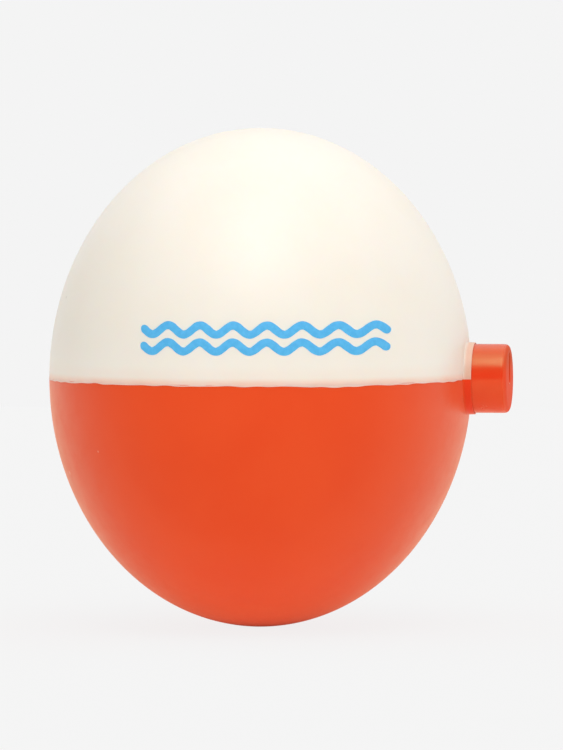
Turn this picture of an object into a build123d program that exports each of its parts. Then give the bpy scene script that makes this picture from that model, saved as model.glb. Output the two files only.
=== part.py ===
from build123d import *
import math
import os

# A push-button bobber float. X is the axis that the fishing line runs along, from the tail (x = 0)
# to the button. The two half shells part on the plane z = 0, which holds that axis. +Z is the
# upper shell. The origin is where the axis leaves the tail end of the shell. Sizes are in mm.

# Shell: a spheroid turned about the line axis
SHELL_DIAMETER = 50.8        # across the line axis, a 2 inch float
SHELL_LENGTH = 42.8          # along the line axis, without the collar
WALL = 1.2
LAP_HEIGHT = 1.5             # the lower shell's lip, inside the upper shell's rim
LAP_GAP = 0.05

# Collar, barrel and guide tube, half of each moulded on each shell
COLLAR_STANDS = 0.6          # from the shell's end to the collar's face
COLLAR_RIM_WALL = 0.1
COLLAR_ROOT_WALL = 0.16
BARREL_WALL = 0.9
SHOULDER_THICKNESS = 1.2     # the barrel's inner end, which the spring stands on
GUIDE_BORE_RADIUS = 1.2
GUIDE_WALL = 0.9

# Push button
BUTTON_DIAMETER = 7.0
BUTTON_LENGTH = 12.0
BUTTON_STANDS = 3.5          # from the collar's face to the button's face
BUTTON_ROUNDING = 0.6
BUTTON_CLEARANCE = 0.05      # running fit in the collar and barrel, on the radius
POCKET_DEPTH = 6.0           # the spring's pocket in the button's inner end

# Line wire: a straight shank on the axis with a hook at each end
WIRE_DIAMETER = 0.8
WIRE_CLEARANCE = 0.06        # running fit in the tail and in the button, on the radius
HOOK_BEND = 1.05             # radius of the hook's centre line
HOOK_TIP_LENGTH = 0.8        # the straight end past the bend
HOOK_RECESS = 0.1            # from the button's face down to its hook
TAIL_RECESS = 0.2            # from the shell's tail down to its hook
HOOK_FLOOR_GAP = 0.1         # from the start of the bend to the floor under it
TIP_END_GAP = 0.2            # past the tip, at the bottom of its hole

# Return spring
SPRING_RADIUS = 2.05         # of the coil's centre line
SPRING_WIRE = 0.5
SPRING_COILS = 9
SPRING_CLEARANCE = 0.3       # round the spring, in the button's pocket

# Travel
STROKE = 2.6                 # opens one hook; the barrel has room for both strokes together
STROKE_MARGIN = 0.6

# Tail
TAIL_WALL = 2.2              # of plastic behind the tail dish
DISH_EDGE_GAP = 0.5          # round the tail hook, on the dish's floor
DISH_DRAFT = 1.0             # how much wider the tail dish is at its mouth
DISH_WALL = 1.2
SLOT_GAP = 0.15              # round the button's hook, in the slot in its face

# Printed waves on the upper shell
INK_THICKNESS = 0.05
INK_ROWS = 2
INK_WAVES = 7
INK_PITCH = 3.29
INK_SWING = 0.45             # from the middle of a row to its crest
INK_STROKE = 0.8
INK_ROW_SPACING = 1.65
INK_FORWARD = 3.7            # from the shell's middle, toward the button
INK_HEIGHT = 4.55            # from the parting plane

# Worked out from the sizes above
MIDDLE = SHELL_LENGTH / 2
BUTTON_RADIUS = BUTTON_DIAMETER / 2
BORE_RADIUS = BUTTON_RADIUS + BUTTON_CLEARANCE
BARREL_RADIUS = BORE_RADIUS + BARREL_WALL
GUIDE_RADIUS = GUIDE_BORE_RADIUS + GUIDE_WALL
WIRE_RADIUS = WIRE_DIAMETER / 2
WIRE_HOLE_RADIUS = WIRE_RADIUS + WIRE_CLEARANCE
HOOK_HEIGHT = 2 * HOOK_BEND
HOOK_REACH = HOOK_HEIGHT + WIRE_RADIUS
COLLAR_FACE = SHELL_LENGTH + COLLAR_STANDS
BUTTON_FACE = COLLAR_FACE + BUTTON_STANDS
BUTTON_END = BUTTON_FACE - BUTTON_LENGTH
POCKET_FLOOR = BUTTON_END + POCKET_DEPTH
POCKET_RADIUS = SPRING_RADIUS + SPRING_WIRE / 2 + SPRING_CLEARANCE
SHOULDER = BUTTON_END - 2 * STROKE - STROKE_MARGIN
BUTTON_BEND = BUTTON_FACE - HOOK_RECESS - WIRE_RADIUS - HOOK_BEND
SLOT_FLOOR = BUTTON_BEND - HOOK_FLOOR_GAP
SLOT_RADIUS = WIRE_RADIUS + SLOT_GAP
TAIL_BEND = TAIL_RECESS + WIRE_RADIUS + HOOK_BEND
TAIL_DISH_FLOOR = TAIL_BEND + HOOK_FLOOR_GAP
TAIL_DISH_RADIUS = HOOK_REACH + DISH_EDGE_GAP
TAIL_BLOCK_END = TAIL_DISH_FLOOR + TAIL_WALL
TAIL_BLOCK_RADIUS = TAIL_DISH_RADIUS + DISH_DRAFT + DISH_WALL
BEYOND = SHELL_DIAMETER      # further than any part of the float reaches


def band(start, end, inner, outer):
    """A rectangle from start to end along X and from inner to outer off the axis."""
    place = Pos((start + end) / 2, (inner + outer) / 2)
    return place * Rectangle(end - start, outer - inner)


def half_disc(inset):
    """The shell's outline, drawn in by inset, on one side of the axis."""
    length = SHELL_LENGTH - 2 * inset
    height = SHELL_DIAMETER - 2 * inset
    return Pos(MIDDLE, 0) * Ellipse(length / 2, height / 2) & band(-BEYOND, BEYOND, 0, BEYOND)


def turn(section, side=1):
    """Half a turn of a section about the line axis: above the parting plane, or below for -1."""
    return revolve(section, Axis((0, 0, 0), (side, 0, 0)), revolution_arc=180)


def rod(start, end, radius, height=0):
    """A cylinder along X, at a height above the axis."""
    return Pos((start + end) / 2, 0, height) * Rot(0, 90, 0) * Cylinder(radius, end - start)


def body_section():
    """Half the section through both shells, which is turned about the line axis."""
    inside = band(SHOULDER - SHOULDER_THICKNESS, BEYOND, 0, BARREL_RADIUS)
    inside += band(0, SHOULDER, 0, GUIDE_RADIUS)
    inside += band(0, TAIL_BLOCK_END, 0, TAIL_BLOCK_RADIUS)
    section = half_disc(0) - half_disc(WALL) + (inside & half_disc(0))
    root = SHELL_LENGTH - BORE_RADIUS
    section += make_face(Polyline(
        (root, 0),
        (COLLAR_FACE, 0),
        (COLLAR_FACE, BORE_RADIUS + COLLAR_RIM_WALL),
        (root, BORE_RADIUS + COLLAR_ROOT_WALL),
        close=True,
    ))
    section -= band(SHOULDER, BEYOND, 0, BORE_RADIUS)
    section -= band(TAIL_BLOCK_END, SHOULDER, 0, GUIDE_BORE_RADIUS)
    section -= band(-WALL, TAIL_BLOCK_END, 0, WIRE_HOLE_RADIUS)
    section -= make_face(Polyline(
        (TAIL_DISH_FLOOR, 0),
        (TAIL_DISH_FLOOR, TAIL_DISH_RADIUS),
        (0, TAIL_DISH_RADIUS + DISH_DRAFT),
        (-WALL, TAIL_DISH_RADIUS + DISH_DRAFT),
        (-WALL, 0),
        close=True,
    ))
    return section


def slab(low, high):
    """All that lies between two heights."""
    return Pos(MIDDLE, 0, (low + high) / 2) * Box(2 * BEYOND, 2 * BEYOND, high - low)


def lap(outer, inner, height, gap):
    """A ring on the parting plane, between two insets from the shell's outside, up to a height.

    It stays clear of the barrel and of the tail block by gap.
    """
    ring = turn(half_disc(outer) - half_disc(inner)) & slab(0, height)
    ring -= rod(MIDDLE, BEYOND, BARREL_RADIUS + gap)
    ring -= rod(-BEYOND, MIDDLE, TAIL_BLOCK_RADIUS + gap)
    return ring


def tip_hole(bend, floor, side):
    """The hole under a hook's tip. side is +1 where the tip points toward the button."""
    end = bend + side * (HOOK_TIP_LENGTH + TIP_END_GAP)
    return rod(min(floor, end), max(floor, end), WIRE_HOLE_RADIUS, HOOK_HEIGHT)


def shells():
    """The upper and the lower shell."""
    section = body_section()
    upper = turn(section)
    upper -= lap(WALL / 2, WALL + LAP_GAP, LAP_HEIGHT, 0)
    upper -= tip_hole(TAIL_BEND, TAIL_DISH_FLOOR - HOOK_FLOOR_GAP, 1)
    lower = turn(section, -1)
    lower += lap(WALL / 2 + LAP_GAP, WALL, LAP_HEIGHT - LAP_GAP, LAP_GAP)
    return upper, lower


def slot():
    """The round-ended slot in the button's face, which the hook lies in."""
    between = Box(BEYOND, 2 * SLOT_RADIUS, HOOK_HEIGHT)
    between = Pos(SLOT_FLOOR + BEYOND / 2, 0, HOOK_HEIGHT / 2) * between
    ends = [rod(SLOT_FLOOR, SLOT_FLOOR + BEYOND, SLOT_RADIUS, height) for height in (0, HOOK_HEIGHT)]
    return between + ends


def push_button():
    """The button: a round sleeve with a slot for the hook and a pocket for the spring."""
    outline = band(BUTTON_END, BUTTON_FACE, 0, BUTTON_RADIUS)
    corner = outline.vertices().sort_by(Axis.Y)[-2:].sort_by(Axis.X)[-1]
    outline = fillet(corner, BUTTON_ROUNDING)
    outline -= band(BUTTON_END, POCKET_FLOOR, 0, POCKET_RADIUS)
    outline -= band(POCKET_FLOOR, BUTTON_FACE, 0, WIRE_HOLE_RADIUS)
    button = revolve(outline, Axis.X) - slot()
    return button - tip_hole(BUTTON_BEND, SLOT_FLOOR + HOOK_FLOOR_GAP, -1)


def hook_arc(bend, side):
    """Half a turn from the hook's tip to the shank. side is +1 where the hook opens to +X."""
    crown = (bend - side * HOOK_BEND, 0, HOOK_BEND)
    return ThreePointArc((bend, 0, HOOK_HEIGHT), crown, (bend, 0, 0))


def line_wire():
    """The wire: the tail hook, the shank and the button's hook in one bent piece."""
    tail_tip = (TAIL_BEND + HOOK_TIP_LENGTH, 0, HOOK_HEIGHT)
    button_tip = (BUTTON_BEND - HOOK_TIP_LENGTH, 0, HOOK_HEIGHT)
    path = Wire([
        Line(tail_tip, (TAIL_BEND, 0, HOOK_HEIGHT)),
        hook_arc(TAIL_BEND, 1),
        Line((TAIL_BEND, 0, 0), (BUTTON_BEND, 0, 0)),
        hook_arc(BUTTON_BEND, -1),
        Line((BUTTON_BEND, 0, HOOK_HEIGHT), button_tip),
    ])
    return sweep(Plane(origin=tail_tip, z_dir=(-1, 0, 0)) * Circle(WIRE_RADIUS), path=path)


def return_spring():
    """The spring, from the barrel's shoulder to the floor of the button's pocket."""
    length = POCKET_FLOOR - SHOULDER - SPRING_WIRE
    coil = Helix(length / SPRING_COILS, length, SPRING_RADIUS)
    start = Plane(origin=coil @ 0, z_dir=coil % 0)
    spring = sweep(start * Circle(SPRING_WIRE / 2), path=coil, is_frenet=True)
    return Pos(SHOULDER + SPRING_WIRE / 2, 0, 0) * Rot(0, 90, 0) * spring


def wave_row(height):
    """One wavy line on the XZ plane: arcs that swing up and down by turns, with round ends."""
    half = INK_PITCH / 2
    start = MIDDLE + INK_FORWARD - INK_WAVES * half
    ends = [start + i * half for i in range(2 * INK_WAVES + 1)]
    arcs = [
        ThreePointArc((a, height), ((a + b) / 2, height + INK_SWING * (-1) ** i), (b, height))
        for i, (a, b) in enumerate(zip(ends, ends[1:]))
    ]
    outline = Wire(arcs).offset_2d(INK_STROKE / 2, kind=Kind.ARC, side=Side.BOTH)
    return extrude(Plane.XZ * make_face(outline), BEYOND)


def printed_waves():
    """The ink: a thin film on the front of the upper shell."""
    film = turn(half_disc(-INK_THICKNESS) - half_disc(0))
    low = INK_HEIGHT - INK_ROW_SPACING * (INK_ROWS - 1) / 2
    rows = [wave_row(low + i * INK_ROW_SPACING) & film for i in range(INK_ROWS)]
    return Compound([solid for row in rows for solid in row.solids()])


def main():
    os.makedirs("parts", exist_ok=True)
    upper, lower = shells()
    nodes = {
        "upper_shell": upper,
        "lower_shell": lower,
        "push_button": push_button(),
        "line_wire": line_wire(),
        "return_spring": return_spring(),
        "printed_waves": printed_waves(),
    }
    for name, shape in nodes.items():
        export_step(shape, f"parts/{name}.step")


main()
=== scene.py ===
# %% [markdown]
# # A push-button bobber float
#
# The float is two half shells of moulded plastic, ivory above and orange below, joined edge to
# edge. A push button slides in a collar at one end, and a brass wire runs through the middle with
# a hook at each end for the line. The working model comes first: it holds every size, and each
# piece made here rides on one of its bodies, so the button and the wire still move.

# %% Load the working model
import math

import bmesh
import bpy
import numpy as np
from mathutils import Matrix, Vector
from mathutils.geometry import tessellate_polygon


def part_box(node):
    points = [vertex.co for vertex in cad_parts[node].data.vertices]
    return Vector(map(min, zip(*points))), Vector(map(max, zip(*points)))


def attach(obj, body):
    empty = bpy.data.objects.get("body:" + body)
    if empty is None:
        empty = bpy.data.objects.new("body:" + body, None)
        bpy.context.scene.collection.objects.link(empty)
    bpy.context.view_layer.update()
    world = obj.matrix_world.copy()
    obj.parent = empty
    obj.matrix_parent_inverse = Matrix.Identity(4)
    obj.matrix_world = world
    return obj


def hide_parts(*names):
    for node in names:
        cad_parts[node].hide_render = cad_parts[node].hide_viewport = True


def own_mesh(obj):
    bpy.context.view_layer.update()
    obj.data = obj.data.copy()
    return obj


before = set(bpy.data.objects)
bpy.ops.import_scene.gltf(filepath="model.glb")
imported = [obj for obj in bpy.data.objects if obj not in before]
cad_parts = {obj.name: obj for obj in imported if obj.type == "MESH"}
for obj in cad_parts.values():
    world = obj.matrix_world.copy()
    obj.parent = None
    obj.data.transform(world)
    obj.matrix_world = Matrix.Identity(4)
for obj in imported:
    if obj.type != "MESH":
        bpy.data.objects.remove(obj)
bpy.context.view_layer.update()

# %% [markdown]
# ## Sizes
#
# Shapes are worked out in millimetres, because a float is a small thing, and turned into metres
# only when a mesh is made. What the working model's boxes can tell is read from them. The rest
# are sizes that a box hides, such as the wall, and are named here.
#
# The line axis is X, from the tail to the button. The shells part on the plane z = 0.

# %% Sizes
MM = 0.001


def box_mm(node):
    """The lowest and the highest corner of a node, in millimetres."""
    low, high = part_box(node)
    return np.array(low) / MM, np.array(high) / MM


shell_high = box_mm("upper_shell")[1]
button_low, button_high = box_mm("push_button")
wire_low, wire_high = box_mm("line_wire")
spring_high = box_mm("return_spring")[1]

SHELL_LENGTH = 42.8
WALL = 1.2
SHOULDER = 29.1            # the barrel's inner end, which the spring stands on
SHOULDER_BACK = 27.9
GUIDE_BORE = 1.2
GUIDE_OUTSIDE = 2.1
BARREL_WALL = 0.9
COLLAR_RIM_WALL = 0.1
COLLAR_CREASE = 3.67       # where the collar rises from the shell, off the axis
DISH_MOUTH = 3.86
TAIL_BLOCK_END = 3.95
TAIL_BLOCK_RADIUS = 5.2
POCKET_FLOOR = 40.9
POCKET_RADIUS = 2.6
BUTTON_ROUNDING = 0.6
RUNNING_GAP = 0.05         # round the button
WIRE_GAP = 0.06            # round the wire, in its holes
DISH_GAP = 0.5             # round the tail hook, on the dish's floor
SLOT_GAP = 0.15            # round the button's hook, in its slot
HOOK_FLOOR_GAP = 0.1       # from the start of a hook's bend to the floor under it
TIP_LENGTH = 0.8           # of the hook's straight end
TIP_HOLE_DEPTH = 1.0
SPRING_WIRE = 0.25         # radius

middle = SHELL_LENGTH / 2
half_width = shell_high[2]
collar_face = shell_high[0]
button_radius = button_high[2]
button_face = button_high[0]
button_end = button_low[0]
bore = button_radius + RUNNING_GAP
wire_radius = wire_high[1]
wire_hole = wire_radius + WIRE_GAP
hook_bend = (wire_high[2] - wire_radius) / 2
hook_height = 2 * hook_bend
tail_bend = wire_low[0] + wire_radius + hook_bend
button_bend = wire_high[0] - wire_radius - hook_bend
dish_floor = tail_bend + HOOK_FLOOR_GAP
dish_radius = wire_high[2] + DISH_GAP
slot_floor = button_bend - HOOK_FLOOR_GAP
slot_radius = wire_radius + SLOT_GAP
print(f"shell {SHELL_LENGTH} x {2 * half_width:.2f} mm, button {2 * button_radius:.2f} mm")
print(f"hook bend {hook_bend:.2f} mm, dish floor at {dish_floor:.2f} mm")

# %% [markdown]
# ## Helpers for outlines
#
# A moulded part has no knife edges: every corner of its tool is rounded a little, and those small
# roundings catch the light. An outline is drawn as stretches, each a row of points (x, r) along
# and off the line axis, and each corner between two stretches is replaced by a short curve.

# %% Helpers for outlines
CORNER_STEPS = 6
HOLD = 0.03                # from a stretch's end to the point that keeps its shading flat


def line(start, end):
    """A straight stretch, with a point close to each end so that its shading stays flat."""
    start, end = np.array(start, float), np.array(end, float)
    hold = min(0.2, HOLD / np.linalg.norm(end - start))
    return start + (end - start) * np.array([0, hold, 1 - hold, 1])[:, None]


def ellipse(inset, first, last, count):
    """The shell's outline drawn in by inset, from one distance off the axis to another.

    x = middle + a cos(t) and r = b sin(t), with the angle t taken in even steps. It starts on the
    tail's side of the middle and ends on the button's side.
    """
    a, b = middle - inset, half_width - inset
    t = np.linspace(math.pi - math.asin(first / b), math.asin(last / b), count)
    return np.column_stack([middle + a * np.cos(t), b * np.sin(t)])


def cut_back(points, amount):
    """A stretch with a length taken off its start, so that it starts on itself further on."""
    step = np.linalg.norm(np.diff(points, axis=0), axis=1)
    length = np.concatenate([[0], np.cumsum(step)])
    start = [np.interp(amount, length, points[:, i]) for i in (0, 1)]
    return np.vstack([start, points[length > amount + 1e-6]])


def round_corners(stretches, sizes):
    """Joins stretches end to end, with each corner rounded by a quadratic curve.

    A corner C between P, on the stretch before it, and Q, on the one after, becomes
    (1 - s)^2 P + 2 s (1 - s) C + s^2 Q. P and Q are the corner's size away from C. With as many
    sizes as stretches, the last corner joins the end to the start.
    """
    parts = [np.array(stretch, float) for stretch in stretches]
    s = np.linspace(0, 1, CORNER_STEPS + 1)[1:-1, None]
    curves = []
    for i, size in enumerate(sizes):
        after = (i + 1) % len(parts)
        corner = parts[i][-1].copy()
        parts[i] = cut_back(parts[i][::-1], size)[::-1]
        parts[after] = cut_back(parts[after], size)
        p, q = parts[i][-1], parts[after][0]
        curves.append((1 - s) ** 2 * p + 2 * s * (1 - s) * corner + s ** 2 * q)
    joined = [piece for pair in zip(parts, curves) for piece in pair] + parts[len(curves):]
    return np.vstack(joined)


# %% [markdown]
# ## Helpers for surfaces
#
# Every surface here is a grid of points: a function of two numbers, worked out for all of them at
# once. Grids that share an edge have the same points there, so merging doubles closes the piece.
# Only then are the faces turned to point outwards, when there is no doubt which way is out.

# %% Helpers for surfaces
SHARP = math.radians(38)   # a bend sharper than this is shaded as an edge
MERGE_WITHIN = 3e-7        # in metres, as the next one is
SHORTEST_EDGE = 1e-8


def turned(outline, angles):
    """Turns an outline about the line axis: (x, r) goes to (x, r cos(angle), r sin(angle))."""
    x, r = outline[:, 0], outline[:, 1]
    t = np.asarray(angles, float)[:, None]
    return np.stack([x + 0 * t, r * np.cos(t), r * np.sin(t)], axis=-1)


def grid(points):
    """A grid of points as a surface: the points in a row, and the four corners of each face."""
    number = np.arange(points.shape[0] * points.shape[1]).reshape(points.shape[:2])
    corners = [number[:-1, :-1], number[1:, :-1], number[1:, 1:], number[:-1, 1:]]
    return points.reshape(-1, 3), np.stack(corners, axis=-1).reshape(-1, 4)


def flat(*loops):
    """A flat surface inside the first loop of points and outside the others."""
    loops = [np.asarray(loop, float) for loop in loops]
    triangles = tessellate_polygon([[Vector(p) for p in loop] for loop in loops])
    return np.vstack(loops), np.array(triangles)


def ring(x, radius, count, height):
    """Points once round a circle, square to X and at a height, from its +Y side to there again."""
    t = np.linspace(0, 2 * math.pi, count)
    return np.column_stack([np.full(count, x), radius * np.cos(t), height + radius * np.sin(t)])


def make_piece(name, surfaces, body, stands_for=()):
    """Joins surfaces into one closed mesh in metres, faces outwards, riding on a body."""
    starts = np.cumsum([0] + [len(points) for points, _ in surfaces])
    faces = [(corners + start).tolist() for (_, corners), start in zip(surfaces, starts)]
    mesh = bpy.data.meshes.new(name)
    points = np.vstack([points for points, _ in surfaces]) * MM
    mesh.from_pydata(points.tolist(), [], sum(faces, []))
    work = bmesh.new()
    work.from_mesh(mesh)
    bmesh.ops.remove_doubles(work, verts=work.verts, dist=MERGE_WITHIN)
    bmesh.ops.dissolve_degenerate(work, edges=work.edges, dist=SHORTEST_EDGE)
    bmesh.ops.recalc_face_normals(work, faces=work.faces)
    open_edges = sum(not edge.is_manifold for edge in work.edges)
    volume = work.calc_volume() / MM ** 3
    work.to_mesh(mesh)
    work.free()
    mesh.shade_smooth()
    mesh.set_sharp_from_angle(angle=SHARP)
    piece = bpy.data.objects.new(name, mesh)
    bpy.context.scene.collection.objects.link(piece)
    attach(piece, body)
    if stands_for:
        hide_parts(*stands_for)
    print(f"{name}: {len(mesh.polygons)} faces, {open_edges} open edges, {volume:.1f} mm3")
    return piece


# %% [markdown]
# ## The half shells
#
# Each shell is half of a hollow spheroid, with half of the collar, of the barrel that the button
# slides in, of the guide tube and of the tail block moulded in one. As a CAD solid it is cut into
# flat facets, and on a glossy ball each facet shows. So its section is drawn once and turned
# through half a turn in fine steps. The section has two loops: the outside, which also runs down
# the bores, and the sealed space. Flat faces on the parting plane close the two.

# %% The shells' section
SHELL_STEPS = 132          # in half a turn
OUTSIDE_POINTS, INSIDE_POINTS = 230, 120

shell_curve = ellipse(0, DISH_MOUTH, COLLAR_CREASE, OUTSIDE_POINTS)
outside = round_corners(
    [
        line((dish_floor, dish_radius), shell_curve[0]),
        shell_curve,
        line(shell_curve[-1], (collar_face, bore + COLLAR_RIM_WALL)),
        line((collar_face, bore + COLLAR_RIM_WALL), (collar_face, bore)),
        line((collar_face, bore), (SHOULDER, bore)),
        line((SHOULDER, bore), (SHOULDER, GUIDE_BORE)),
        line((SHOULDER, GUIDE_BORE), (TAIL_BLOCK_END, GUIDE_BORE)),
        line((TAIL_BLOCK_END, GUIDE_BORE), (TAIL_BLOCK_END, wire_hole)),
        line((TAIL_BLOCK_END, wire_hole), (dish_floor, wire_hole)),
    ],
    [0.3, 0.1, 0.06, 0.03, 0.1, 0.1, 0.1, 0.05],
)
barrel = bore + BARREL_WALL
wall_curve = ellipse(WALL, TAIL_BLOCK_RADIUS, barrel, INSIDE_POINTS)
sealed = round_corners(
    [
        wall_curve,
        line(wall_curve[-1], (SHOULDER_BACK, barrel)),
        line((SHOULDER_BACK, barrel), (SHOULDER_BACK, GUIDE_OUTSIDE)),
        line((SHOULDER_BACK, GUIDE_OUTSIDE), (TAIL_BLOCK_END, GUIDE_OUTSIDE)),
        line((TAIL_BLOCK_END, GUIDE_OUTSIDE), (TAIL_BLOCK_END, TAIL_BLOCK_RADIUS)),
        line((TAIL_BLOCK_END, TAIL_BLOCK_RADIUS), wall_curve[0]),
    ],
    [0.2] * 6,
)
print("points in the outside and in the sealed space:", len(outside), len(sealed))


# %% Make the half shells
HOLE_POINTS = 33


def tip_hole(x, direction):
    """The round blind hole that a hook's tip rests in: its mouth, its wall and its bottom."""
    mouth = ring(x, wire_hole, HOLE_POINTS, hook_height)
    bottom = mouth + [direction * TIP_HOLE_DEPTH, 0, 0]
    return mouth[:-1], [grid(np.stack([mouth, bottom])), flat(bottom[:-1])]


def half_shell(side):
    """All surfaces of one half shell: side is 1 for the upper one and -1 for the lower."""
    angles = side * np.linspace(0, math.pi, SHELL_STEPS + 1)
    closed = np.vstack([sealed, sealed[:1]])
    surfaces = [grid(turned(outside, angles)), grid(turned(closed, angles))]
    floor_edge = turned(outside[:1], angles)[:, 0]
    hole_edge = turned(outside[-1:], angles)[::-1, 0]
    half_floor = np.vstack([floor_edge, hole_edge])
    if side > 0:
        mouth, walls = tip_hole(dish_floor, 1)
        surfaces += [flat(half_floor, mouth)] + walls
    else:
        surfaces += [flat(half_floor)]
    for way in (1, -1):
        loops = [np.column_stack([loop[:, 0], way * loop[:, 1], 0 * loop[:, 0]])
                 for loop in (outside, sealed)]
        surfaces.append(flat(*loops))
    return surfaces


upper_shell = make_piece(
    "upper_shell_moulding", half_shell(1), "float_body", ["upper_shell"])
lower_shell = make_piece(
    "lower_shell_moulding", half_shell(-1), "float_body", ["lower_shell"])

# %% [markdown]
# ## The seam's flash
#
# Where the two shells are welded, a little of the soft ivory plastic is squeezed out over the
# orange. It is a thin bead, never even: thicker here, almost gone there. Here it is a closed band
# carried along the parting line. How far it stands out, how high it is and how far it hangs each
# vary with the mean of a few sine waves. Their phases come from a seeded generator, so the
# unevenness is the same on each run.

# %% Make the seam's flash
chance = np.random.default_rng(7)
FLASH_DEPTH = 0.035        # how far it stands out, and the same into the shell
FLASH_HEIGHT = 0.075       # half of its height
FLASH_HANG = 0.045         # from the parting plane down to its middle
FLASH_FADE = 0.6           # length over which it fades out at each end
FLASH_STEPS, FLASH_ROUND = 420, 15
LOBE = 0.17                # how much lower it hangs at one place on the printed side
LOBE_PLACE = middle + 10.0
LOBE_LENGTH = 3.2


def uneven(s, lengths):
    """A wavering number between about -1 and 1 along s, the mean of one sine for each length."""
    phase = chance.uniform(0, 2 * math.pi, len(lengths))
    return np.sin(s[:, None] * 2 * math.pi / np.array(lengths) + phase).mean(axis=1) * 1.4


def flash_band(way):
    """The bead on one side of the float.

    At each point of the shell's outline its section is a small ellipse, with a depth along the
    outline's normal and a height along Z. Both shrink to nothing at the ends. On the printed side
    a lobe hangs lower by LOBE exp(-((x - place) / length)^2).
    """
    path = ellipse(0, DISH_MOUTH + 0.25, COLLAR_CREASE + 0.15, FLASH_STEPS)
    tangent = np.gradient(path, axis=0)
    tangent /= np.linalg.norm(tangent, axis=1)[:, None]
    s = np.concatenate([[0], np.cumsum(np.linalg.norm(np.diff(path, axis=0), axis=1))])
    fade = np.clip(np.minimum(s, s[-1] - s) / FLASH_FADE, 0, 1) ** 0.5
    depth = FLASH_DEPTH * (1 + 0.45 * uneven(s, [9.1, 3.7, 1.9, 0.9])) * fade
    height = FLASH_HEIGHT * (1 + 0.4 * uneven(s, [13.0, 5.3, 2.3])) * fade
    hang = -FLASH_HANG - 0.05 * uneven(s, [21.0, 8.0, 3.1])
    lobe = LOBE * np.exp(-((path[:, 0] - LOBE_PLACE) / LOBE_LENGTH) ** 2) * (way < 0)
    height, hang = height + lobe / 2, hang - lobe / 2
    t = np.linspace(0, 2 * math.pi, FLASH_ROUND)[:, None]
    out = depth * np.cos(t)
    x = path[:, 0] - out * tangent[:, 1]
    y = way * (path[:, 1] + out * tangent[:, 0])
    z = hang + height * np.sin(t) + 0 * x
    return grid(np.stack([x, y, z], axis=-1))


seam_flash = make_piece(
    "seam_flash", [flash_band(1), flash_band(-1)], "float_body")

# %% [markdown]
# ## The printed waves
#
# The print is pad-printed ink: a soft pad lays a thin wet film on the curved shell. Its edges are
# not sharp, and the film is a little thicker in the middle of a stroke. So each wave is a thin
# solid of its own, bent over the shell, with round ends.

# %% Make the printed waves
INK_ROWS = (3.72, 5.38)      # heights over the parting plane
INK_WAVES = 7
INK_PITCH = 3.29
INK_SWING = 0.45
INK_HALF_STROKE = 0.4
INK_THICKNESS = 0.045
INK_SUNK = 0.02              # how far the film's back reaches into the shell
INK_MIDDLE = middle + 3.7
INK_STEPS, INK_ROUND = 420, 41


def printed_wave(row):
    """One wavy stroke of ink on the shell's front.

    Its middle line is z = row + swing sin(2 pi x / pitch). Points across it are offset along the
    line's normal by v times a half width that closes in a half circle at each end, and then put
    on the spheroid, raised by the film's thickness times sqrt(1 - v^2). The film's back is sunk
    into the shell in the same way, so that no gap shows at its edge.
    """
    half = INK_WAVES * INK_PITCH / 2 + INK_HALF_STROKE
    u = half * np.sin(np.linspace(-math.pi / 2, math.pi / 2, INK_STEPS))
    swing = INK_SWING * np.sin(2 * math.pi * u / INK_PITCH)
    slope = INK_SWING * 2 * math.pi / INK_PITCH * np.cos(2 * math.pi * u / INK_PITCH)
    lean = np.hypot(1, slope)
    cap = np.clip((half - np.abs(u)) / INK_HALF_STROKE, 0, 1)
    width = INK_HALF_STROKE * np.sqrt(1 - (1 - cap) ** 2)
    width = width * (1 + 0.035 * uneven(u, [2.9, 1.3, 0.6]))
    angle = np.linspace(0, 2 * math.pi, INK_ROUND)[:, None]
    v = np.cos(angle)
    x = INK_MIDDLE + u - v * width * slope / lean
    z = row + swing + v * width / lean
    film = np.where(np.sin(angle) > 0, INK_THICKNESS, INK_SUNK)
    raised = film * np.sin(angle) * (width > 0)
    a, b = middle + raised, half_width + raised
    y = -b * np.sqrt(1 - ((x - middle) / a) ** 2 - (z / b) ** 2)
    return grid(np.stack([x, y, z], axis=-1))


printed_waves = make_piece(
    "printed_waves_ink", [printed_wave(row) for row in INK_ROWS], "float_body",
    ["printed_waves"])

# %% [markdown]
# ## The push button
#
# The button is a turned sleeve with a pocket at its inner end for the spring, and a slot with
# round ends across its face, which the hook lies in. The sleeve is one outline turned all the way
# round the line axis. The slot isn't round, so the face is a flat ring with the slot's outline
# left out, and the slot's wall goes down from there to a flat floor with two holes: one for the
# wire and one for the hook's tip.

# %% Make the push button
TURN_STEPS = 128
SLOT_POINTS = 33           # round each end of the slot
SLOT_LIP = 0.08            # the rounding of the slot's edge
FACE_MARGIN = 0.05         # of flat face inside the button's rounding


def slot_loop(x, grow):
    """The slot's outline at a place along the axis, grown by a margin.

    It is a circle, (r cos(t), r sin(t)), with the hook's height added to its upper half.
    """
    half = np.linspace(0, math.pi, SLOT_POINTS)
    t = np.concatenate([half, half + math.pi])
    lift = np.repeat([hook_height, 0.0], len(half))
    r = slot_radius + grow
    return np.column_stack([np.full(len(t), x), r * np.cos(t), r * np.sin(t) + lift])


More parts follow.
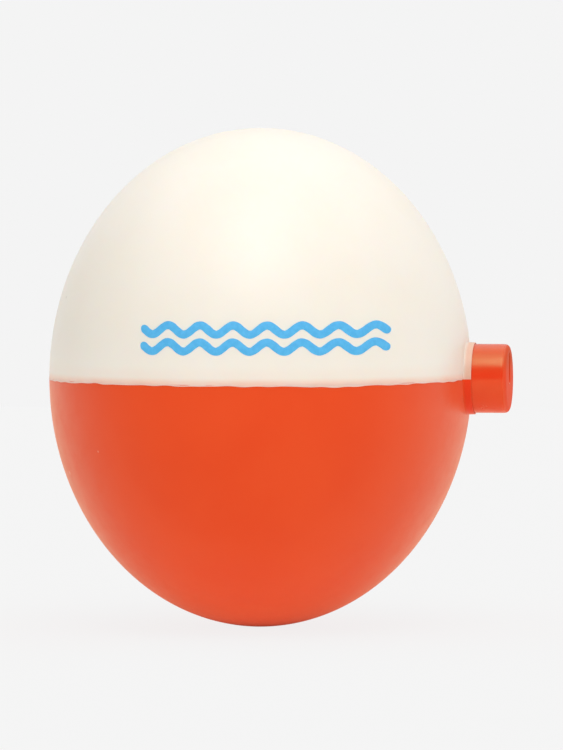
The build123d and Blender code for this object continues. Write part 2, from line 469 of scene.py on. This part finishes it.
def push_button_surfaces():
    """The button: its outline turned about the axis, its slotted face and its two holes."""
    face_edge = button_radius - BUTTON_ROUNDING - FACE_MARGIN
    outline = round_corners(
        [
            line((button_face, face_edge), (button_face, button_radius)),
            line((button_face, button_radius), (button_end, button_radius)),
            line((button_end, button_radius), (button_end, POCKET_RADIUS)),
            line((button_end, POCKET_RADIUS), (POCKET_FLOOR, POCKET_RADIUS)),
            line((POCKET_FLOOR, POCKET_RADIUS), (POCKET_FLOOR, wire_hole)),
            line((POCKET_FLOOR, wire_hole), (slot_floor, wire_hole)),
        ],
        [BUTTON_ROUNDING, 0.15, 0.1, 0.15, 0.05],
    )
    wall = turned(outline, np.linspace(0, 2 * math.pi, TURN_STEPS + 1))
    ease = SLOT_LIP * (1 - np.cos(np.linspace(0, math.pi / 2, 5)))
    loops = [slot_loop(button_face, SLOT_LIP + HOLD)]
    loops += [slot_loop(button_face - down, grow) for down, grow in zip(ease, ease[::-1])]
    loops += [slot_loop(slot_floor, 0.0)]
    slot = np.stack(loops)
    mouth, walls = tip_hole(slot_floor, -1)
    face = flat(wall[:-1, 0], slot[0])
    floor = flat(slot[-1], wall[:-1, -1], mouth)
    around = np.concatenate([slot, slot[:, :1]], axis=1)
    return [grid(wall), grid(around), face, floor] + walls


push_button = make_piece(
    "push_button_sleeve", push_button_surfaces(), "button", ["push_button"])

# %% [markdown]
# ## The line wire
#
# One brass wire is bent to a hook at each end. A tube is carried along its middle line, which
# lies in one plane, so the tube's section never twists. The cut ends are deburred: the tube
# shrinks over the last bit in a quarter circle and closes in a point.

# %% Make the line wire
BEND_POINTS = 33
WIRE_ROUND = 32            # points round the wire
WIRE_DEBURRING = 0.12


def wire_path():
    """The wire's middle line: tip, bend, shank, bend, tip, as points (x, z)."""
    bend = np.linspace(math.pi / 2, 3 * math.pi / 2, BEND_POINTS)[:, None]
    tail = np.hstack([tail_bend + hook_bend * np.cos(bend), hook_bend * (1 + np.sin(bend))])
    front = np.hstack([button_bend - hook_bend * np.cos(bend), hook_bend * (1 + np.sin(bend))])
    tips = [[[tail_bend + TIP_LENGTH, hook_height]], [[button_bend - TIP_LENGTH, hook_height]]]
    return np.vstack([tips[0], tail, front[::-1], tips[1]])


def end_twice(*rows):
    """Rows of numbers with their first and last repeated, so that a tube can close in a point."""
    return [np.concatenate([row[:1], row, row[-1:]]) for row in rows]


def tube(path, radius, rounding, count):
    """A tube along a plane path (x, z), with rounded ends.

    A ring's points are the path's point + r cos(t) along the path's normal + r sin(t) along Y.
    Near an end at distance d, r = radius - rounding + sqrt(rounding^2 - (rounding - d)^2).
    """
    step = np.linalg.norm(np.diff(path, axis=0), axis=1)
    length = np.concatenate([[0], np.cumsum(step)])
    ease = rounding * (1 - np.cos(np.linspace(0, math.pi / 2, 6)))
    inside = length[(length > rounding * 1.5) & (length < length[-1] - rounding * 1.5)]
    where = np.concatenate([ease, inside, length[-1] - ease[::-1]])
    x, z = (np.interp(where, length, path[:, i]) for i in (0, 1))
    dx, dz = np.gradient(x), np.gradient(z)
    norm = np.hypot(dx, dz)
    end = np.clip(np.minimum(where, length[-1] - where), 0, rounding)
    r = radius - rounding + np.sqrt(rounding ** 2 - (rounding - end) ** 2)
    x, z, dx, dz, r = end_twice(x, z, dx / norm, dz / norm, r)
    r[[0, -1]] = 0
    t = np.linspace(0, 2 * math.pi, count + 1)[:, None]
    return grid(np.stack([x - r * np.cos(t) * dz, r * np.sin(t) + 0 * x,
                          z + r * np.cos(t) * dx], axis=-1))


line_wire = make_piece(
    "line_wire_brass", [tube(wire_path(), wire_radius, WIRE_DEBURRING, WIRE_ROUND)], "wire",
    ["line_wire"])

# %% [markdown]
# ## The return spring
#
# The spring is squeezed by two motions: the wire's and the button's. So it is made in two lengths
# that all but meet in the middle, with a gap of less than a tenth of a millimetre between them.
# The inner one stands on the shoulder and rides on the float's body, and the outer one moves with
# the wire.

# %% Make the return spring
SPRING_TURNS = 9.5
SPRING_GAP = 0.0003        # share of the spring left out on each side of its cut
SPRING_STEPS, SPRING_ROUND = 520, 15
COIL_CLOSING = 0.072       # how strongly the coils close up at the spring's ends
spring_radius = spring_high[1] - SPRING_WIRE
spring_start, spring_end = SHOULDER, POCKET_FLOOR
spring_middle = (spring_start + spring_end) / 2


def spring_length(first, last, name, body, replaced):
    """A length of the spring, from one share of it to another.

    The coil's middle goes round at an even rate. How far it is along the axis is given by
    share - COIL_CLOSING sin(2 pi share) |cos(pi share)|^3, which closes the last coil at each end
    of the whole spring. The wire's section is a circle in the plane that holds the axis.
    """
    share = np.linspace(first, last, SPRING_STEPS)
    turns = 2 * math.pi * SPRING_TURNS * share
    free = spring_end - spring_start - 2 * SPRING_WIRE
    closing = np.sin(2 * math.pi * share) * np.abs(np.cos(math.pi * share)) ** 3
    x = spring_start + SPRING_WIRE + free * (share - COIL_CLOSING * closing)
    r = np.full_like(x, SPRING_WIRE)
    x, turns, r = end_twice(x, turns, r)
    r[[0, -1]] = 0
    t = np.linspace(0, 2 * math.pi, SPRING_ROUND)[:, None]
    off = spring_radius + r * np.cos(t)
    points = np.stack([x + r * np.sin(t), off * np.cos(turns), off * np.sin(turns)], axis=-1)
    return make_piece(name, [grid(points)], body, replaced)


inner_spring = spring_length(
    0, 0.5 - SPRING_GAP, "return_spring_inner", "float_body", ["return_spring"])
outer_spring = spring_length(
    0.5 + SPRING_GAP, 1, "return_spring_outer", "wire", ["return_spring"])
for length, joint, start in ((inner_spring, "wire_slide", spring_start),
                             (outer_spring, "button_slide", spring_middle)):
    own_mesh(length)

# %% [markdown]
# ## Materials
#
# The next cells give every piece its finish. They share one helper, which makes a material and
# hands back its shader, and a few for patterns. A pattern is read from Object coordinates. They
# are in metres, so a pattern 1 mm across has a noise scale of about 1000.

# %% Helpers for materials
def new_material(name):
    """A material with its shader, and the tools for adding nodes to it."""
    material = bpy.data.materials.new(name)
    material.use_nodes = True
    tree = material.node_tree
    return material, tree, tree.nodes["Principled BSDF"]


def add(tree, kind, inputs=(), **settings):
    """Adds a node, sets it up, and fills its inputs with numbers or other nodes' outputs."""
    node = tree.nodes.new(kind)
    for key, value in settings.items():
        setattr(node, key, value)
    for key, value in dict(inputs).items():
        if isinstance(value, bpy.types.NodeSocket):
            tree.links.new(value, node.inputs[key])
        else:
            node.inputs[key].default_value = value
    return node


def place(tree):
    """Object coordinates, and the same split into x, y and z."""
    point = add(tree, "ShaderNodeTexCoord").outputs["Object"]
    split = add(tree, "ShaderNodeSeparateXYZ", {0: point})
    return point, split.outputs


def noise(tree, point, scale, detail=3.0, roughness=0.5):
    """Cloudy noise between 0 and 1."""
    inputs = {"Vector": point, "Scale": scale, "Detail": detail, "Roughness": roughness}
    return add(tree, "ShaderNodeTexNoise", inputs).outputs["Fac"]


def ramp(tree, value, start, end, low=0.0, high=1.0):
    """Goes smoothly from low to high as a value goes from start to end."""
    inputs = {"Value": value, 1: start, 2: end, 3: low, 4: high}
    return add(tree, "ShaderNodeMapRange", inputs, interpolation_type="SMOOTHSTEP").outputs[0]


def combine(tree, operation, first, second):
    """One sum, product or other operation on two numbers."""
    return add(tree, "ShaderNodeMath", {0: first, 1: second}, operation=operation).outputs[0]


def blend_colour(tree, share, first, second):
    """Goes from the first colour to the second as share goes from 0 to 1."""
    inputs = {0: share, 6: first, 7: second}
    return add(tree, "ShaderNodeMix", inputs, data_type="RGBA").outputs[2]


def specks(tree, point, scale, size, share):
    """Small round specks, rare ones: 1 inside a speck and 0 elsewhere.

    A Voronoi cell has a speck at its centre if the cell's own random number is under share.
    """
    cells = add(tree, "ShaderNodeTexVoronoi", {"Vector": point, "Scale": scale})
    dot = ramp(tree, cells.outputs["Distance"], size, size * 0.5)
    pick = add(tree, "ShaderNodeSeparateColor", {0: cells.outputs["Color"]}).outputs[0]
    chosen = combine(tree, "LESS_THAN", pick, share)
    return combine(tree, "MULTIPLY", dot, chosen)


def bump(tree, shader, height, distance):
    """Adds fine relief: height between 0 and 1, over a distance in metres."""
    node = add(tree, "ShaderNodeBump", {"Height": height, "Distance": distance, "Strength": 1.0})
    tree.links.new(node.outputs[0], shader.inputs["Normal"])


def finish(piece, material):
    """Gives a piece its material."""
    piece.data.materials.clear()
    piece.data.materials.append(material)
    print(f"{piece.name}: {material.name}")


# %% [markdown]
# ### Ivory and orange plastic
#
# Both shells are polystyrene from polished tools: satin gloss, with fine scuffs in it and a slow
# waviness that softens the highlight. A little light goes into the plastic and comes out again
# near by, which takes the hardness off shadows; that is the subsurface setting. Both have specks
# of dust that was moulded in.

# %% What both plastics share
WAVE_HEIGHT = 0.00002      # in metres


def shade(colour, red, green, blue):
    """A colour with its red, its green and its blue each multiplied by a number."""
    return (colour[0] * red, colour[1] * green, colour[2] * blue, 1)


def growing(tree, distance, start, end, full):
    """Goes from 0 to full between two places along an axis, in millimetres."""
    return ramp(tree, distance, start * MM, end * MM, 0.0, full)


def dusted(tree, point, colour, coarse, fine, strength, dust):
    """A colour with coarse and fine specks of dust, each kind given as (scale, size, share)."""
    dots = combine(tree, "MAXIMUM", specks(tree, point, *coarse), specks(tree, point, *fine))
    return blend_colour(tree, combine(tree, "MULTIPLY", dots, strength), colour, dust)


def scuffed(tree, point, roughness):
    """A polished surface's roughness, a little higher in fine scuffs."""
    return ramp(tree, noise(tree, point, 500, 5, 0.65), 0.35, 0.75, roughness, roughness + 0.08)


def moulded(tree, point, shader, gloss, weight, reach, depth):
    """Gives a plastic its gloss and waviness, and lets light into it.

    The weight is the share of the light that goes in. It comes out about depth metres away, times
    the three numbers of reach for its red, its green and its blue.
    """
    shader.inputs["Specular IOR Level"].default_value = gloss
    shader.inputs["Subsurface Weight"].default_value = weight
    shader.inputs["Subsurface Radius"].default_value = reach
    shader.inputs["Subsurface Scale"].default_value = depth
    bump(tree, shader, noise(tree, point, 180, 4, 0.55), WAVE_HEIGHT)


# %% [markdown]
# Where the ivory is thin, its colour is not its own. At the parting line the orange lip behind it
# shines through: a faint wide tint, and a strong one at the very edge. At the collar the orange
# button shines through, and the tint is deeper. The first two are blends by height over the
# parting plane, and the third is one by distance along the line axis.

# %% Ivory plastic
IVORY = (0.93, 0.86, 0.77, 1)
BLUSH = (1.0, 0.57, 0.42, 1)
COLLAR_BLUSH = (0.86, 0.46, 0.32, 1)
DARK_DUST = (0.3, 0.2, 0.13, 1)
WIDE_TINT = (2.0, 0.8, 0.12)         # each tint: where it starts, where it is full, how strong
EDGE_TINT = (0.75, 0.05, 0.66)
COLLAR_TINT = (42.35, 43.0, 0.9)


def ivory_plastic():
    """Ivory plastic, blushing orange at the parting line and along the collar."""
    material, tree, shader = new_material("ivory_plastic")
    point, axes = place(tree)
    wide = growing(tree, axes["Z"], *WIDE_TINT)
    edge = growing(tree, axes["Z"], *EDGE_TINT)
    collar = growing(tree, axes["X"], *COLLAR_TINT)
    share = combine(tree, "ADD", wide, edge)
    share = combine(tree, "MULTIPLY", share, ramp(tree, noise(tree, point, 260), 0, 1, 0.7, 1.2))
    cloud = ramp(tree, noise(tree, point, 90), 0.3, 0.7)
    own = blend_colour(tree, cloud, IVORY, shade(IVORY, 0.985, 0.98, 0.96))
    colour = blend_colour(tree, share, own, BLUSH)
    colour = blend_colour(tree, collar, colour, COLLAR_BLUSH)
    colour = dusted(tree, point, colour, (330, 0.1, 0.05), (600, 0.09, 0.02), 0.7, DARK_DUST)
    tree.links.new(colour, shader.inputs["Base Color"])
    tree.links.new(scuffed(tree, point, 0.34), shader.inputs["Roughness"])
    moulded(tree, point, shader, 0.45, 0.25, (1.0, 0.6, 0.35), 0.0012)
    return material


ivory = ivory_plastic()
finish(upper_shell, ivory)
finish(seam_flash, ivory)

# %% [markdown]
# The orange is the same plastic with a strong pigment. The thin collar is redder than the shell.
# The shell also has a pale bloom that shows where it is seen edge on; that is the sheen. The
# button is a redder, glossier moulding of its own. Its top is painted a deeper colour, as painted
# shade that tones down the lamp's light from above, and its face is matte.

# %% Orange plastic
ORANGE = (0.83, 0.064, 0.011, 1)
THIN_ORANGE = (0.87, 0.044, 0.008, 1)
BUTTON_ORANGE = (0.85, 0.036, 0.005, 1)
# painted shade: a deeper orange for the top, which tones down the lamp's light from above
TOP_SHADE_ORANGE = (0.70, 0.046, 0.006, 1)
PALE_DUST = (0.9, 0.55, 0.4, 1)
PALE_BLOOM = (1.0, 0.55, 0.34, 1)
PAINTED_TOP_SHADE = (0.3, 2.2, 1.0)         # where it starts, where it is full, how strong
MATTE_FACE = (button_face - 0.4, button_face, 0.6)
THIN_COLLAR = 42.6
NEVER_THIN = 48.0                    # beyond the button's face
THINNING = 0.3                       # length over which the colour turns


def orange_plastic(name, colour, thin_from, gloss, tint, dullness, sheen):
    """Orange plastic, redder past a place on the axis, painted shade on top, matte at the face."""
    material, tree, shader = new_material(name)
    point, axes = place(tree)
    cloud = ramp(tree, noise(tree, point, 110), 0.3, 0.7)
    own = blend_colour(tree, cloud, colour, shade(colour, 1.02, 1.12, 1.2))
    # painted shade: the top turns deeper, against the light from above
    top = growing(tree, axes["Z"], *PAINTED_TOP_SHADE)
    mixed = blend_colour(tree, top, own, TOP_SHADE_ORANGE)
    thin = growing(tree, axes["X"], thin_from, thin_from + THINNING, 1.0)
    mixed = blend_colour(tree, thin, mixed, THIN_ORANGE)
    mixed = dusted(tree, point, mixed, (300, 0.09, 0.05), (620, 0.09, 0.03), 0.5, PALE_DUST)
    tree.links.new(mixed, shader.inputs["Base Color"])
    face = growing(tree, axes["X"], *MATTE_FACE)
    roughness = combine(tree, "ADD", scuffed(tree, point, dullness), face)
    tree.links.new(roughness, shader.inputs["Roughness"])
    shader.inputs["Specular Tint"].default_value = tint
    shader.inputs["Sheen Weight"].default_value = sheen
    shader.inputs["Sheen Roughness"].default_value = 0.35
    shader.inputs["Sheen Tint"].default_value = PALE_BLOOM
    moulded(tree, point, shader, gloss, 0.08, (1.0, 0.2, 0.05), 0.001)
    return material


shell_orange = orange_plastic(
    "orange_plastic", ORANGE, thin_from=THIN_COLLAR, gloss=0.45, tint=(1.0, 0.5, 0.3, 1),
    dullness=0.32, sheen=0.35)
finish(lower_shell, shell_orange)
button_orange = orange_plastic(
    "button_plastic", BUTTON_ORANGE, thin_from=NEVER_THIN, gloss=0.8, tint=(0.5, 1.0, 0.5, 1),
    dullness=0.2, sheen=0.0)
finish(push_button, button_orange)

# %% [markdown]
# ### Brass, steel and ink
#
# Drawn wire has fine lines along it, which a noise that is stretched along the line axis gives.
# Brass that has been handled is a little darker and browner in patches. The ink is matte and even,
# with edges that are already in its shape, so it only needs a faint mottle.

# %% Metals and ink
BRASS, TARNISHED_BRASS = (0.80, 0.56, 0.24, 1), (0.50, 0.31, 0.13, 1)
STEEL, TARNISHED_STEEL = (0.58, 0.59, 0.60, 1), (0.36, 0.35, 0.34, 1)
BLUE, PALE_BLUE = (0.085, 0.44, 0.80, 1), (0.11, 0.50, 0.86, 1)
MARK_HEIGHT = 0.000004     # of the marks that drawing leaves, in metres
MOTTLE_HEIGHT = 0.000006


def wire_metal(name, colour, tarnish, roughness):
    """Drawn metal wire with patches of tarnish and fine drawing marks."""
    material, tree, shader = new_material(name)
    point, _ = place(tree)
    patches = ramp(tree, noise(tree, point, 700, 5, 0.6), 0.4, 0.75)
    mixed = blend_colour(tree, combine(tree, "MULTIPLY", patches, 0.6), colour, tarnish)
    tree.links.new(mixed, shader.inputs["Base Color"])
    shader.inputs["Metallic"].default_value = 1.0
    dull = ramp(tree, patches, 0, 1, roughness, roughness + 0.15)
    tree.links.new(dull, shader.inputs["Roughness"])
    along = add(tree, "ShaderNodeMapping", {0: point, 3: (0.06, 1, 1)}).outputs[0]
    bump(tree, shader, noise(tree, along, 9000, 2), MARK_HEIGHT)
    return material


def ink():
    """Matte blue ink with a faint mottle."""
    material, tree, shader = new_material("blue_ink")
    point, _ = place(tree)
    mottle = ramp(tree, noise(tree, point, 2200, 4, 0.6), 0.3, 0.7)
    colour = blend_colour(tree, mottle, BLUE, PALE_BLUE)
    tree.links.new(colour, shader.inputs["Base Color"])
    shader.inputs["Roughness"].default_value = 0.5
    shader.inputs["Specular IOR Level"].default_value = 0.25
    bump(tree, shader, noise(tree, point, 3000, 3), MOTTLE_HEIGHT)
    return material


finish(line_wire, wire_metal("brass", BRASS, TARNISHED_BRASS, 0.2))
steel = wire_metal("spring_steel", STEEL, TARNISHED_STEEL, 0.28)
finish(inner_spring, steel)
finish(outer_spring, steel)
finish(printed_waves, ink())

# %% [markdown]
# ## Camera
#
# The float is seen almost square on, from a little toward the button and a little above. A long
# lens far away keeps its outline nearly an ellipse.

# %% Camera
AZIMUTH, ELEVATION = math.radians(9.2), math.radians(1.8)
DISTANCE = 600             # from the shell's middle
LENS = 282.6
AIM_RIGHT, AIM_UP = 2.08, 0.23    # of the shell's middle

centre = Vector((middle, 0, 0))
toward = Vector((math.sin(AZIMUTH) * math.cos(ELEVATION),
                 -math.cos(AZIMUTH) * math.cos(ELEVATION), math.sin(ELEVATION)))
right = Vector((math.cos(AZIMUTH), math.sin(AZIMUTH), 0))
aim = centre + right * AIM_RIGHT + Vector((0, 0, AIM_UP))
camera = bpy.data.objects.new("camera", bpy.data.cameras.new("camera"))
bpy.context.scene.collection.objects.link(camera)
camera.location = (centre + toward * DISTANCE) * MM
camera.rotation_euler = (aim * MM - camera.location).to_track_quat("-Z", "Y").to_euler()
camera.data.lens = LENS
camera.data.clip_start = 0.01
bpy.context.scene.camera = camera
print(f"camera: {DISTANCE} mm from the float, with a {LENS} mm lens")

# %% [markdown]
# ## The light tent
#
# The float stands in a white light tent, which is the world's background. What lights the float
# isn't even. The tent is bright at the sides and behind, and darker where the camera looks in, so
# that the shells don't wash out. It is darker toward the two ends of the line axis too, which
# shapes the ends of the float. The roof is brighter, and a panel in it, above and a little in
# front, brighter still: they make the broad soft highlight. The camera sees one even pale tone.
#
# How strong each part is at a direction is a ramp of the dot product of that direction and the
# part's own.

# %% The light tent
TENT = 0.905                         # as the camera sees it
SIDES, FRONT = 0.82, 0.12
LEFT_END, RIGHT_END = 0.25, 0.65     # what is left of the light at the two ends
ROOF = 0.45
PANEL = 0.75
TO_FRONT = (0.15, -0.98, 0.05)
TO_PANEL = (0.07, -0.41, 0.91)


def toward_part(tree, direction, part):
    """The dot product of two directions: 1 straight toward a part of the tent, 0 square to it."""
    inputs = {0: direction, 1: part}
    node = add(tree, "ShaderNodeVectorMath", inputs, operation="DOT_PRODUCT")
    return node.outputs["Value"]


scene = bpy.context.scene
scene.view_settings.view_transform = "Standard"
world = bpy.data.worlds.new("light_tent")
scene.world = world
world.use_nodes = True
tree = world.node_tree
tree.nodes.clear()
direction = add(tree, "ShaderNodeTexCoord").outputs["Generated"]
axes = add(tree, "ShaderNodeSeparateXYZ", {0: direction}).outputs
ends = combine(tree, "MULTIPLY", ramp(tree, axes["X"], -0.45, -0.97, 1.0, LEFT_END),
               ramp(tree, axes["X"], 0.45, 0.97, 1.0, RIGHT_END))
front = ramp(tree, toward_part(tree, direction, TO_FRONT), 0.3, 0.92, SIDES, FRONT)
sides = combine(tree, "MULTIPLY", front, ends)
panel = ramp(tree, toward_part(tree, direction, TO_PANEL), 0.86, 0.97, 0.0, PANEL)
roof = combine(tree, "ADD", ramp(tree, axes["Z"], 0.55, 0.85, 0.0, ROOF), panel)
level = combine(tree, "ADD", sides, roof)
seen = add(tree, "ShaderNodeBackground", {"Color": (TENT, TENT, TENT, 1), "Strength": 1.0})
lit = add(tree, "ShaderNodeBackground", {"Color": (1, 1, 0.99, 1), "Strength": level})
ray = add(tree, "ShaderNodeLightPath").outputs["Is Camera Ray"]
both = add(tree, "ShaderNodeMixShader", {0: ray, 1: lit.outputs[0], 2: seen.outputs[0]})
add(tree, "ShaderNodeOutputWorld", {0: both.outputs[0]})
print(f"light tent: seen as {TENT}, lights from {FRONT} in front to {SIDES} at the sides")

# %% [markdown]
# ## Lamps
#
# A broad lamp above and in front gives the float its form, and a very wide one level with it
# fills the front, where the tent is dark. Both are suns with a wide angle, so their shadows have
# no hard edge. The fill is kept out of reflections, where it would lie over the colours as a haze.

# %% Lamps
def sun(name, strength, angle, azimuth, elevation, glossy=True):
    """A distant lamp, so many degrees wide, shining from an azimuth and an elevation."""
    lamp = bpy.data.objects.new(name, bpy.data.lights.new(name, "SUN"))
    lamp.data.energy, lamp.data.angle = strength, math.radians(angle)
    a, e = math.radians(azimuth), math.radians(elevation)
    from_there = Vector((math.sin(a) * math.cos(e), -math.cos(a) * math.cos(e), math.sin(e)))
    lamp.rotation_euler = from_there.to_track_quat("Z", "Y").to_euler()
    lamp.visible_glossy = glossy
    scene.collection.objects.link(lamp)
    print(f"{name}: strength {strength}, {angle} degrees wide")


sun("broad_lamp", strength=0.5, angle=35, azimuth=18, elevation=57)
sun("front_fill", strength=1.05, angle=90, azimuth=12, elevation=0, glossy=False)

# %% [markdown]
# ## Floor
#
# The float rests just over a sheet of pale paper. Close under the float the paper lies in its
# shade and takes on its colour, so the light that comes back from there is weak and red: painted
# shade and a painted red bounce. The paper's finish is in three parts, one for each use of it.
# The camera sees a paper as light as the tent, so the two run into each other, with only a faint
# shadow. The light that it gives the float is a glow. In the float's gloss it is a warm pale
# paper, painted dark red close to the foot as a painted shadow and reflection of the float.

# %% The floor's paper
FLOOR_SIZE, FLOOR_GAP = 600, 0.05
floor_level = -half_width - FLOOR_GAP
WHITE = (1, 1, 1, 1)
BOUNCE = 1.02                        # the glow that lights the float, away from its foot
SHADED_BOUNCE = 0.3 * BOUNCE         # and at its foot
SHADE_RADIUS = 9.0
# painted red bounce: the float's colour, painted into the paper's glow near its foot
RED_BOUNCE_PAPER = (1.0, 0.2, 0.15, 1)
RED_BOUNCE_RADIUS = 12.0
# in the gloss the paper near the foot is painted dark red: a painted shadow and reflection
WARM_PAPER, PAINTED_FOOT_SHADOW = (0.8, 0.7, 0.56, 1), (0.2, 0.02, 0.01, 1)
FOOT_SHADOW_RADIUS = 14.0
SHADOW_PAPER = (0.06, 0.06, 0.06, 1)     # a thin part that shows the camera a shadow
SHADOW_LIGHT = 0.064                     # what that part adds in full light


def floor_paper():
    """Pale paper, which gives back a weaker and redder light the nearer it is to the float's foot.

    Camera rays meet an even glow and a thin diffuse part, glossy rays a diffuse paper that is
    painted dark red near the foot as a painted shadow and reflection, and all other rays a glow.
    """
    material, tree, shader = new_material("studio_paper")
    shader.inputs["Roughness"].default_value = 1.0
    shader.inputs["Specular IOR Level"].default_value = 0.0
    point, _ = place(tree)
    foot = (middle * MM, 0, floor_level * MM)
    away = add(tree, "ShaderNodeVectorMath", {0: point, 1: foot}, operation="DISTANCE")
    away = away.outputs["Value"]
    strength = ramp(tree, away, 0.0, SHADE_RADIUS * MM, SHADED_BOUNCE, BOUNCE)
    # painted red bounce: the glow turns red close to the foot
    red_bounce_colour = blend_colour(
        tree, ramp(tree, away, 0.0, RED_BOUNCE_RADIUS * MM), RED_BOUNCE_PAPER, WHITE)
    bounce = add(tree, "ShaderNodeEmission", {"Color": red_bounce_colour, "Strength": strength})
    # painted shadow and reflection: the paper in the gloss turns dark red near the foot
    gloss_paper_with_shadow = blend_colour(
        tree, ramp(tree, away, 0.0, FOOT_SHADOW_RADIUS * MM), PAINTED_FOOT_SHADOW, WARM_PAPER)
    tree.links.new(gloss_paper_with_shadow, shader.inputs["Base Color"])
    glow = add(tree, "ShaderNodeEmission", {"Color": WHITE, "Strength": TENT - SHADOW_LIGHT})
    thin = add(tree, "ShaderNodeBsdfDiffuse", {"Color": SHADOW_PAPER})
    seen_paper = add(tree, "ShaderNodeAddShader", {0: glow.outputs[0], 1: thin.outputs[0]})
    rays = add(tree, "ShaderNodeLightPath").outputs
    lit_paper = add(tree, "ShaderNodeMixShader",
                    {0: rays["Is Glossy Ray"], 1: bounce.outputs[0], 2: shader.outputs[0]})
    either = add(tree, "ShaderNodeMixShader",
                 {0: rays["Is Camera Ray"], 1: lit_paper.outputs[0], 2: seen_paper.outputs[0]})
    tree.links.new(either.outputs[0], tree.nodes["Material Output"].inputs["Surface"])
    return material


# %% Make the floor
edge = np.linspace(-FLOOR_SIZE, FLOOR_SIZE, 9)
across, along = np.meshgrid(edge, edge)
spots = np.stack([across, along, 0 * across + floor_level], axis=-1)
points, corners = grid(spots)
floor_mesh = bpy.data.meshes.new("studio_floor")
floor_mesh.from_pydata((points * MM).tolist(), [], corners.tolist())
studio_floor = bpy.data.objects.new("studio_floor", floor_mesh)
scene.collection.objects.link(studio_floor)
floor_mesh.materials.append(floor_paper())
print(f"studio_floor: {len(corners)} faces at {floor_level:.2f} mm")
